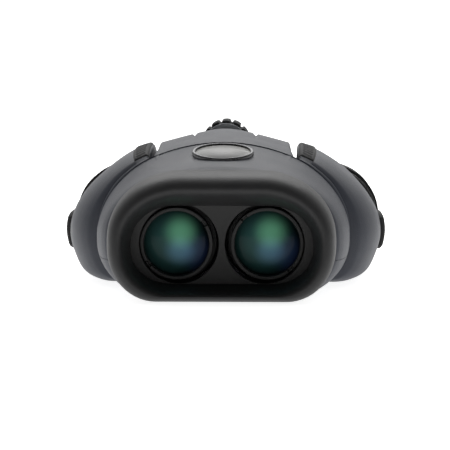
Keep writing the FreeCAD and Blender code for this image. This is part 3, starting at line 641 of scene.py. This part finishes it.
def side_relief(u, v, rim):
    if rim < 1.3:
        return 0.2
    bars = ridge_wave(v * 6.0 + 0.5, 0.6)
    return -0.35 + 0.75 * bars * min(1.0, (rim - 1.3) / 0.4)


def top_across(v):
    """A narrow pad beside the roof, drawn in a little behind."""
    behind = max(0.0, (v - 0.7) / 0.3)
    return 0.07 + 0.12 * behind ** 2, 0.97 - 0.35 * behind ** 2


def side_across(v):
    """A pad low on the flank, with its corners drawn in."""
    corner = 0.3 * (2 * v - 1) ** 4
    return 4.12 + corner, 5.98 - corner


TOP_EDGE = {"y": (-17.2, 27.2), "across": top_across, "mm": 7.0}
SIDE_EDGE = {"y": (4.8, 22.3), "across": side_across, "mm": 7.6}
for side, sign in SIDES:
    top_pad = pad(f"{side}_top_grip", sign, TOP_EDGE, 0.45, top_relief, spans=(36, 96))
    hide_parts(f"{side}_top_grip_pad")
    side_pad = pad(f"{side}_side_grip", sign, SIDE_EDGE, 1.15, side_relief, spans=(36, 72))
    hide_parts(f"{side}_side_grip_pad")
    for thing in (top_pad, side_pad):
        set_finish(thing, "grip_rubber")
        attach(thing, f"{side}_wing")

# ---------------------------------------------------------------- focus wheel
LOBES = 13
LOBE_STEPS = 18
WHEEL_STEPS = LOBES * LOBE_STEPS
WHEEL_PHASE = 0.12
WHEEL_BORE = 6.22
WHEEL = (0.0, 45.4)


def wheel_ring(y, shrink=0.0):
    """The lobed outline: shallow crowns with a narrow valley halfway between them."""
    ring = []
    for i in range(WHEEL_STEPS):
        phase = (i / LOBE_STEPS) % 1.0
        valley = max(0.0, 1 - abs(phase - 0.5) / 0.17)
        radius = 8.52 - shrink - 1.05 * (valley ** 0.6 if valley > 0 else 0.0)
        radius += 0.06 * math.cos(2 * math.pi * phase)
        x, z = polar(WHEEL, radius, 2 * math.pi * i / WHEEL_STEPS + WHEEL_PHASE)
        ring.append((x, y, z))
    return ring


wheel_rings = []
for k in range(5):
    turn = math.pi / 2 * k / 4
    wheel_rings.append(wheel_ring(13.8 + 0.9 * (1 - math.cos(turn)), 0.9 * (1 - math.sin(turn))))
for y in np.linspace(15.0, 27.0, 61):
    groove = 0.16 if (y - 15.0) % 1.2 > 0.62 else 0.0
    wheel_rings.append(wheel_ring(float(y), groove))
for k in range(5):
    turn = math.pi / 2 * k / 4
    wheel_rings.append(wheel_ring(28.2 - 0.9 * (1 - math.sin(turn)), 0.9 * (1 - math.cos(turn))))
for y in (28.2, 13.8):
    wheel_rings.append(circle_at(WHEEL, WHEEL_BORE, y, WHEEL_STEPS, WHEEL_PHASE))
wheel = skin("focus_grip", wheel_rings, loop=True, sharp=50)
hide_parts("focus_wheel_grip")
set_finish(wheel, "grip_rubber")
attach(wheel, "focus_wheel")

core_profile = [(1.6, 11.4), (3.0, 11.4), (3.0, 13.0), (7.5, 13.0), (7.5, 13.8), (6.2, 13.8), (6.2, 28.2),
                (7.5, 28.2), (7.5, 29.0), (5.4, 29.0), (5.0, 28.5), (3.4, 28.5), (3.2, 29.0), (1.6, 29.0)]
core = turned("wheel_core", fillet(core_profile, 0.22, 3), WHEEL)
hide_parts("focus_wheel_core")
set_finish(core, "wheel_plastic")
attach(core, "focus_wheel")

# ---------------------------------------------------------------- eyepieces and eyecups
CUP = [(17.1, 39.6), (17.75, 39.6), (18.3, 39.9), (18.3, 41.6), (18.02, 41.9), (18.02, 42.5), (18.3, 42.8),
       (18.3, 52.6), (18.2, 53.6), (17.8, 54.7), (17.2, 55.7), (16.6, 56.4), (16.2, 56.85), (15.8, 57.0),
       (15.4, 56.85), (15.2, 56.4), (15.05, 55.4), (14.7, 53.9), (14.6, 53.3), (14.9, 52.8), (16.9, 52.6),
       (17.05, 52.2)]
for side, sign in SIDES:
    centre = (sign * EYE[0], EYE[1])
    cup = turned(f"{side}_eyecup", CUP, centre, steps=144, sharp=40)
    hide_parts(f"{side}_eyecup_rubber")
    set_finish(cup, "grip_rubber")
    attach(cup, f"{side}_eyecup")
    ribs = RING_RIBS if side == "right" else 0
    rings = []
    profile = fillet([(15.26, 33.5), (17.0, 33.5), (17.0, 34.4), (COLLAR_RADIUS, 34.6), (COLLAR_RADIUS, 38.0),
                      (17.0, 38.2), (17.0, 39.0), (15.26, 39.0)], 0.18, 3)
    for radius, y in profile:
        ring = []
        for i in range(COLLAR_STEPS):
            grip = 0.32 if ribs and radius > 17.2 and i % (COLLAR_STEPS // ribs) in (0, 1) else 0.0
            x, z = polar(centre, radius - grip, 2 * math.pi * i / COLLAR_STEPS)
            ring.append((x, y, z))
        rings.append(ring)
    collar = skin(f"{side}_collar", rings, loop=True, sharp=28)
    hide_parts("diopter_ring" if ribs else "left_eyepiece_collar")
    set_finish(collar, "dark_plastic")
    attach(collar, "diopter_ring" if ribs else "left_wing")

# raised marks on the dioptre ring: a minus, a line and a plus
def mark_bar(name, radius, angle, y0, y1, width, centre):
    """A thin raised bar lying on a ring about an eyepiece."""
    points = []
    for r in (radius - 0.25, radius + 0.06):
        for y in (y0, y1):
            for turn in (-width / 2, width / 2):
                x, z = polar(centre, r, math.radians(angle) + turn / radius)
                points.append((x, y, z))
    faces = [(0, 1, 3, 2), (4, 6, 7, 5), (0, 4, 5, 1), (2, 3, 7, 6), (0, 2, 6, 4), (1, 5, 7, 3)]
    return obj_from(name, points, faces, 30)


right_eye = (-EYE[0], EYE[1])
LINE, MINUS = (98, 35.0, 37.6, 0.5), (122, 36.1, 36.6, 1.9)
PLUS_ACROSS, PLUS_ALONG = (74, 36.1, 36.6, 1.9), (74, 35.4, 37.3, 0.5)
marks = [mark_bar("m", COLLAR_RADIUS, *bar, right_eye) for bar in (LINE, MINUS, PLUS_ACROSS, PLUS_ALONG)]
dial = join("dioptre_marks", marks)
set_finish(dial, "wheel_plastic")
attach(dial, "diopter_ring")

# ---------------------------------------------------------------- the front optics
for side, sign in SIDES:
    centre = (sign * HINGE[0], HINGE[1])
    rings = []
    # two spanner notches in the ring, across from each other
    start = {"left": 132.0, "right": 36.0}[side]
    profile = fillet([(10.3, -42.35), (10.55, -42.8), (11.45, -42.8), (11.45, -41.2), (10.5, -41.2),
                      (10.3, -41.6)], 0.12, 2)
    for radius, y in profile:
        ring = []
        for i in range(360):
            near = min(abs((i - start) % 180), 180 - abs((i - start) % 180))
            notch = max(0.0, min(1.0, (5.2 - near) / 0.9))
            depth = 0.85 * notch if y < -42.3 else 0.0
            out = 0.55 * notch if radius < 10.9 else 0.0
            x, z = polar(centre, radius + out, math.radians(i))
            ring.append((x, y + depth, z))
        rings.append(ring)
    ring = skin(f"{side}_front_ring", rings, loop=True, sharp=35)
    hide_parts(f"{side}_retaining_ring")
    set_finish(ring, "dark_plastic")
    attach(ring, f"{side}_objective")

    profile = []
    for k in range(25):
        radius = LENS_RADIUS * k / 24
        fall = LENS_CURVE - math.sqrt(LENS_CURVE ** 2 - radius ** 2)
        profile.append((max(radius, 0.02), LENS_FRONT + fall))
    profile += [(LENS_RADIUS, -37.9), (10.2, -37.72), (0.02, -37.72)]
    glass = turned(f"{side}_front_lens", profile, centre, steps=120, loop=False, sharp=40)
    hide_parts(f"{side}_objective_crown")
    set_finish(glass, "coated_glass")
    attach(glass, f"{side}_objective")


# ---------------------------------------------------------------- front panel
def flat_plate(name, outlines, low, high, bevel):
    """A plate in the XZ plane from closed outlines; the inner ones are holes. Edges are bevelled."""
    curve = bpy.data.curves.new(name, "CURVE")
    curve.dimensions = "2D"
    curve.fill_mode = "BOTH"
    curve.extrude = (high - low) / 2 * MM - bevel * MM
    curve.bevel_depth = bevel * MM
    curve.offset = -bevel * MM
    curve.bevel_resolution = 2
    for outline in outlines:
        spline = curve.splines.new("POLY")
        spline.points.add(len(outline) - 1)
        for point, (x, z) in zip(spline.points, outline):
            point.co = (x * MM, z * MM, 0, 1)
        spline.use_cyclic_u = True
    thing = bpy.data.objects.new(name, curve)
    bpy.context.scene.collection.objects.link(thing)
    bpy.context.view_layer.update()
    graph = bpy.context.evaluated_depsgraph_get()
    mesh = bpy.data.meshes.new_from_object(thing.evaluated_get(graph))
    bpy.data.objects.remove(thing)
    made = bpy.data.objects.new(name, mesh)
    bpy.context.scene.collection.objects.link(made)
    mesh.transform(Matrix.Rotation(math.pi / 2, 4, "X"))
    mesh.transform(Matrix.Translation((0, (low + high) / 2 * MM, 0)))
    return tidy(made, 35)


def ring_points(radius, x, z, count=96, clockwise=False):
    run = [polar((x, z), radius, 2 * math.pi * i / count) for i in range(count)]
    return run[::-1] if clockwise else run


panel_edge = fillet([(-31.6, 3.0), (31.6, 3.0), (31.6, 34.6), (-31.6, 34.6)], 15.0, 16)
panel = flat_plate("front_panel", [panel_edge, ring_points(12.62, 13.6, 17.4, clockwise=True),
                                   ring_points(12.62, -13.6, 17.4, clockwise=True)], -43.0, -41.6, 0.22)
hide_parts("baffle_panel")
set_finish(panel, "dark_plastic")
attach(panel, "main_body")

# ---------------------------------------------------------------- badge
BADGE_HALVES = (10.0, 7.3)
BADGE = Matrix.Translation((0, -29.0 * MM, 45.3 * MM)) @ Matrix.Rotation(math.radians(17.5), 4, "X")


def oval_skin(name, profile, half_width, half_length, steps=96, loop=True):
    """A closed section of (inset, height) swept round an ellipse on the badge's plane."""
    rings = []
    for inset, height in profile:
        wide, long = half_width - inset, half_length - inset
        turns = [2 * math.pi * i / steps for i in range(steps)]
        rings.append([(wide * math.cos(turn), long * math.sin(turn), height) for turn in turns])
    thing = skin(name, rings, loop=loop, caps=not loop, sharp=35)
    thing.data.transform(BADGE)
    return thing


rim = [(0.05, -1.5), (0.02, 0.35), (0.12, 0.66), (0.35, 0.86), (0.65, 0.9), (0.92, 0.8), (1.1, 0.6),
       (1.1, -1.5)]
bezel = oval_skin("badge_rim", rim, *BADGE_HALVES)
dome = [(1.12, -0.9), (1.12, 0.35)]
dome += [(1.12 + 5.0 * k / 14, 0.35 + 0.95 * (1 - (1 - k / 14) ** 2)) for k in range(1, 14)] + [(6.05, 1.31)]
face = oval_skin("badge_face", dome, *BADGE_HALVES, loop=False)
for thing, node, slot in ((bezel, "nameplate_bezel", "bezel_metal"), (face, "nameplate", "badge_gloss")):
    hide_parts(node)
    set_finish(thing, slot)
    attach(thing, "main_body")

# ---------------------------------------------------------------- materials
def material(name, colour=(0.1, 0.1, 0.1), rough=0.5, metal=0.0, coat=0.0, coat_rough=0.2, spread=0.0,
             scale=300.0, bump=0.0, bump_scale=2500.0, specular=0.5):
    """A principled material whose colour, roughness and grain come from noise on the object's own points."""
    made = bpy.data.materials.new(name)
    made.use_nodes = True
    nodes, links = made.node_tree.nodes, made.node_tree.links
    nodes.clear()
    out = nodes.new("ShaderNodeOutputMaterial")
    shader = nodes.new("ShaderNodeBsdfPrincipled")
    links.new(shader.outputs[0], out.inputs[0])
    shader.inputs["Metallic"].default_value = metal
    shader.inputs["Coat Weight"].default_value = coat
    shader.inputs["Coat Roughness"].default_value = coat_rough
    shader.inputs["Specular IOR Level"].default_value = specular
    place = nodes.new("ShaderNodeTexCoord")
    wide = nodes.new("ShaderNodeTexNoise")
    wide.inputs["Scale"].default_value = scale
    wide.inputs["Detail"].default_value = 4
    links.new(place.outputs["Object"], wide.inputs["Vector"])
    tint = nodes.new("ShaderNodeValToRGB")
    low = [c * (1 - spread) for c in colour]
    high = [min(1.0, c * (1 + spread)) for c in colour]
    tint.color_ramp.elements[0].color = (*low, 1)
    tint.color_ramp.elements[0].position = 0.3
    tint.color_ramp.elements[1].color = (*high, 1)
    tint.color_ramp.elements[1].position = 0.7
    links.new(wide.outputs["Fac"], tint.inputs["Fac"])
    links.new(tint.outputs["Color"], shader.inputs["Base Color"])
    span = nodes.new("ShaderNodeMapRange")
    span.inputs["To Min"].default_value = max(0.03, rough - 0.06)
    span.inputs["To Max"].default_value = min(1.0, rough + 0.06)
    links.new(wide.outputs["Fac"], span.inputs["Value"])
    links.new(span.outputs["Result"], shader.inputs["Roughness"])
    if bump:
        grain = nodes.new("ShaderNodeTexNoise")
        grain.inputs["Scale"].default_value = bump_scale
        grain.inputs["Detail"].default_value = 3
        links.new(place.outputs["Object"], grain.inputs["Vector"])
        raised = nodes.new("ShaderNodeBump")
        raised.inputs["Strength"].default_value = bump
        raised.inputs["Distance"].default_value = 0.0002
        links.new(grain.outputs["Fac"], raised.inputs["Height"])
        links.new(raised.outputs["Normal"], shader.inputs["Normal"])
    return made


ARMOUR = material("body_armour_grey", (0.027, 0.030, 0.040), rough=0.5, spread=0.07, scale=160, bump=0.35,
                  bump_scale=2600, specular=0.3)
HOOD_MAT = material("hood_armour_black", (0.019, 0.019, 0.0195), rough=0.5, spread=0.1, scale=140, bump=0.3,
                    bump_scale=2600, specular=0.22)
RUBBER = material("grip_rubber_black", (0.0055, 0.0055, 0.006), rough=0.72, spread=0.15, scale=400, bump=0.4,
                  bump_scale=3200, specular=0.3)
DARK = material("dark_plastic_matt", (0.009, 0.009, 0.0088), rough=0.55, spread=0.12, scale=500, bump=0.15,
                bump_scale=4000, specular=0.35)
FRAME_MAT = material("frame_plastic_grey", (0.03, 0.03, 0.032), rough=0.55, spread=0.12, scale=300, bump=0.2)
STEEL = material("turned_steel", (0.55, 0.55, 0.56), rough=0.3, metal=1.0, spread=0.08, scale=900, bump=0.1)
BRASS = material("turned_brass", (0.6, 0.43, 0.18), rough=0.3, metal=1.0, spread=0.1, scale=900, bump=0.1)
WHEEL_MAT = material("wheel_plastic_silver", (0.32, 0.33, 0.345), rough=0.38, metal=0.3, spread=0.05,
                     scale=500, bump=0.1)
BEZEL = material("bezel_dark_chrome", (0.07, 0.07, 0.072), rough=0.28, metal=1.0, spread=0.05, scale=500)


def badge_material():
    """Dark olive dome, paler towards its lower edge through a painted highlight."""
    made = material("badge_olive_dome_painted_highlight", (0.05, 0.05, 0.045), rough=0.32, coat=0.12, coat_rough=0.12,
                    spread=0.05, scale=400, specular=0.2)
    nodes, links = made.node_tree.nodes, made.node_tree.links
    place, shader = nodes["Texture Coordinate"], nodes["Principled BSDF"]
    parts_of = nodes.new("ShaderNodeSeparateXYZ")
    links.new(place.outputs["Object"], parts_of.inputs[0])
    along = nodes.new("ShaderNodeMapRange")
    along.inputs["From Min"].default_value = -0.0356
    along.inputs["From Max"].default_value = -0.0225
    links.new(parts_of.outputs["Y"], along.inputs["Value"])
    # the ramp paints a highlight: pale near the badge's lower edge, darker towards its top
    ramp = nodes.new("ShaderNodeValToRGB")
    stops = ramp.color_ramp.elements
    stops[0].position, stops[0].color = 0.0, (0.10, 0.10, 0.098, 1)
    stops[1].position, stops[1].color = 1.0, (0.03, 0.03, 0.03, 1)
    for where, colour in ((0.22, (0.17, 0.17, 0.165, 1)), (0.42, (0.085, 0.085, 0.075, 1)),
                          (0.7, (0.055, 0.055, 0.045, 1))):
        stop = stops.new(where)
        stop.color = colour
    links.new(along.outputs["Result"], ramp.inputs["Fac"])
    links.new(ramp.outputs["Color"], shader.inputs["Base Color"])
    return made


def lens_material(name, sign):
    """Front glass with painted reflections of its coating: green in the middle, blue below on its right, and
    almost black at its edge.
    """
    made = material(name, (0.02, 0.05, 0.04), rough=0.1, spread=0.0, scale=200, specular=0.06)
    nodes, links = made.node_tree.nodes, made.node_tree.links
    place, shader = nodes["Texture Coordinate"], nodes["Principled BSDF"]

    def painted_reflection_spot(x, z, radius_x, radius_z, colour):
        """A soft oval painted reflection on the glass, fading to nothing at its radii."""
        shift = nodes.new("ShaderNodeVectorMath")
        shift.operation = "SUBTRACT"
        shift.inputs[1].default_value = ((sign * HINGE[0] + x) * MM, -0.0409, (HINGE[1] + z) * MM)
        links.new(place.outputs["Object"], shift.inputs[0])
        scaled = nodes.new("ShaderNodeVectorMath")
        scaled.operation = "MULTIPLY"
        scaled.inputs[1].default_value = (1 / (radius_x * MM), 0.0, 1 / (radius_z * MM))
        links.new(shift.outputs[0], scaled.inputs[0])
        reach = nodes.new("ShaderNodeVectorMath")
        reach.operation = "LENGTH"
        links.new(scaled.outputs[0], reach.inputs[0])
        fall = nodes.new("ShaderNodeMapRange")
        fall.interpolation_type = "SMOOTHERSTEP"
        fall.inputs["From Min"].default_value = 0.0
        fall.inputs["From Max"].default_value = 1.0
        fall.inputs["To Min"].default_value = 1.0
        fall.inputs["To Max"].default_value = 0.0
        links.new(reach.outputs["Value"], fall.inputs["Value"])
        tint = nodes.new("ShaderNodeMix")
        tint.data_type = "RGBA"
        tint.inputs["A"].default_value = (0, 0, 0, 1)
        tint.inputs["B"].default_value = (*colour, 1)
        links.new(fall.outputs["Result"], tint.inputs["Factor"])
        return tint.outputs["Result"]

    def added(a, b):
        both = nodes.new("ShaderNodeMix")
        both.data_type = "RGBA"
        both.blend_type = "ADD"
        both.inputs["Factor"].default_value = 1.0
        links.new(a, both.inputs["A"])
        links.new(b, both.inputs["B"])
        return both.outputs["Result"]

    # painted reflections: green, teal, blue and navy spots fixed on the glass stand in for the coating's
    # reflections
    green = painted_reflection_spot(1.2, 3.4, 7.5, 7.5, (0.098, 0.29, 0.155))
    teal = painted_reflection_spot(-1.5, 0.0, 14.0, 15.0, (0.028, 0.082, 0.078))
    blue = painted_reflection_spot(1.0, -2.6, 7.0, 6.5, (0.06, 0.125, 0.20))
    navy = painted_reflection_spot(6.5, -3.5, 7.0, 9.0, (0.012, 0.018, 0.06))
    colour = added(added(green, teal), added(blue, navy))
    links.new(colour, shader.inputs["Base Color"])
    return made


def clear_glass_material():
    made = material("clear_glass_polished", (0.75, 0.82, 0.8), rough=0.06, spread=0.03, scale=300)
    shader = made.node_tree.nodes["Principled BSDF"]
    shader.inputs["Transmission Weight"].default_value = 1.0
    shader.inputs["IOR"].default_value = 1.52
    return made


CLEAR = clear_glass_material()
EYE_GLASS = material("eye_lens_coated", (0.03, 0.02, 0.05), rough=0.06, coat=0.4, coat_rough=0.03,
                     spread=0.3, scale=60)
BY_SLOT = {"hood_armour": HOOD_MAT, "body_armour": ARMOUR, "grip_rubber": RUBBER, "dark_plastic": DARK,
           "frame_plastic": FRAME_MAT, "steel": STEEL, "brass": BRASS, "wheel_plastic": WHEEL_MAT,
           "bezel_metal": BEZEL, "badge_gloss": badge_material(), "clear_glass": CLEAR,
           "coated_glass": EYE_GLASS}
slots = {entry["node"]: entry["material_slot"] for entry in frame["record"]["subparts"]}
for node, thing in frame["nodes"].items():
    thing.data.materials.clear()
    thing.data.materials.append(BY_SLOT[slots[node]])
for thing in bpy.data.objects:
    if thing.type == "MESH" and thing.name not in frame["nodes"] and "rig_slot" in thing:
        thing.data.materials.clear()
        thing.data.materials.append(BY_SLOT[thing["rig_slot"]])
for side, sign in SIDES:
    glass = bpy.data.objects[f"{side}_front_lens"]
    glass.data.materials.clear()
    glass.data.materials.append(lens_material(f"{side}_lens_painted_reflections", sign))

# ---------------------------------------------------------------- stage, light and camera
FLOOR, FLOOR_Z = 6000, -0.05
floor_corners = [(-FLOOR, -FLOOR), (FLOOR, -FLOOR), (FLOOR, FLOOR), (-FLOOR, FLOOR)]
floor = obj_from("floor", [(x, y, FLOOR_Z) for x, y in floor_corners], [(0, 1, 2, 3)])
floor_mat = bpy.data.materials.new("floor_white")
floor_mat.use_nodes = True
floor_shader = floor_mat.node_tree.nodes["Principled BSDF"]
floor_shader.inputs["Base Color"].default_value = (0.9, 0.9, 0.9, 1)
floor_shader.inputs["Roughness"].default_value = 0.9
floor_shader.inputs["Specular IOR Level"].default_value = 0.0
floor_shader.inputs["Emission Color"].default_value = (1, 1, 1, 1)
floor_shader.inputs["Emission Strength"].default_value = 0.86
floor.data.materials.append(floor_mat)

world = bpy.data.worlds.new("studio")
bpy.context.scene.world = world
world.use_nodes = True
sky = world.node_tree.nodes["Background"]
sky.inputs[0].default_value = (1, 1, 1, 1)
# the studio is bright behind the object and dim on the side that the hood faces
facing = world.node_tree.nodes.new("ShaderNodeTexCoord")
split = world.node_tree.nodes.new("ShaderNodeSeparateXYZ")
dimmed = world.node_tree.nodes.new("ShaderNodeMapRange")
dimmed.interpolation_type = "SMOOTHSTEP"
dimmed.inputs["From Min"].default_value = -0.5
dimmed.inputs["From Max"].default_value = 0.7
dimmed.inputs["To Min"].default_value = 0.12
dimmed.inputs["To Max"].default_value = 1.1
world.node_tree.links.new(facing.outputs["Generated"], split.inputs[0])
world.node_tree.links.new(split.outputs["Y"], dimmed.inputs["Value"])
world.node_tree.links.new(dimmed.outputs["Result"], sky.inputs[1])


def area_light(name, spot, aim, size, power):
    data = bpy.data.lights.new(name, "AREA")
    data.shape = "RECTANGLE"
    data.size, data.size_y = size
    data.energy = power
    lamp = bpy.data.objects.new(name, data)
    bpy.context.scene.collection.objects.link(lamp)
    lamp.location = spot
    lamp.rotation_euler = (Vector(aim) - Vector(spot)).to_track_quat("-Z", "Y").to_euler()
    return lamp


area_light("top_soft", (0.0, 0.42, 0.66), (0, 0, 0.02), (0.8, 0.5), 5.0)

camera_data = bpy.data.cameras.new("camera")
camera_data.lens = 140.96
camera_data.sensor_width = 36.0
camera_data.clip_start = 0.01
camera_data.clip_end = 50.0
camera = bpy.data.objects.new("camera", camera_data)
bpy.context.scene.collection.objects.link(camera)
ELEVATION, AZIMUTH, DISTANCE = math.radians(6.0), math.radians(1.381), 0.6
target = Vector((-0.0000187, 0.0, 0.018887))
level = math.cos(ELEVATION)
back = Vector((math.sin(AZIMUTH) * level, -math.cos(AZIMUTH) * level, math.sin(ELEVATION)))
camera.location = target + back * DISTANCE
camera.rotation_euler = (-back).to_track_quat("-Z", "Y").to_euler()
bpy.context.scene.camera = camera
bpy.context.scene.view_settings.view_transform = "Standard"
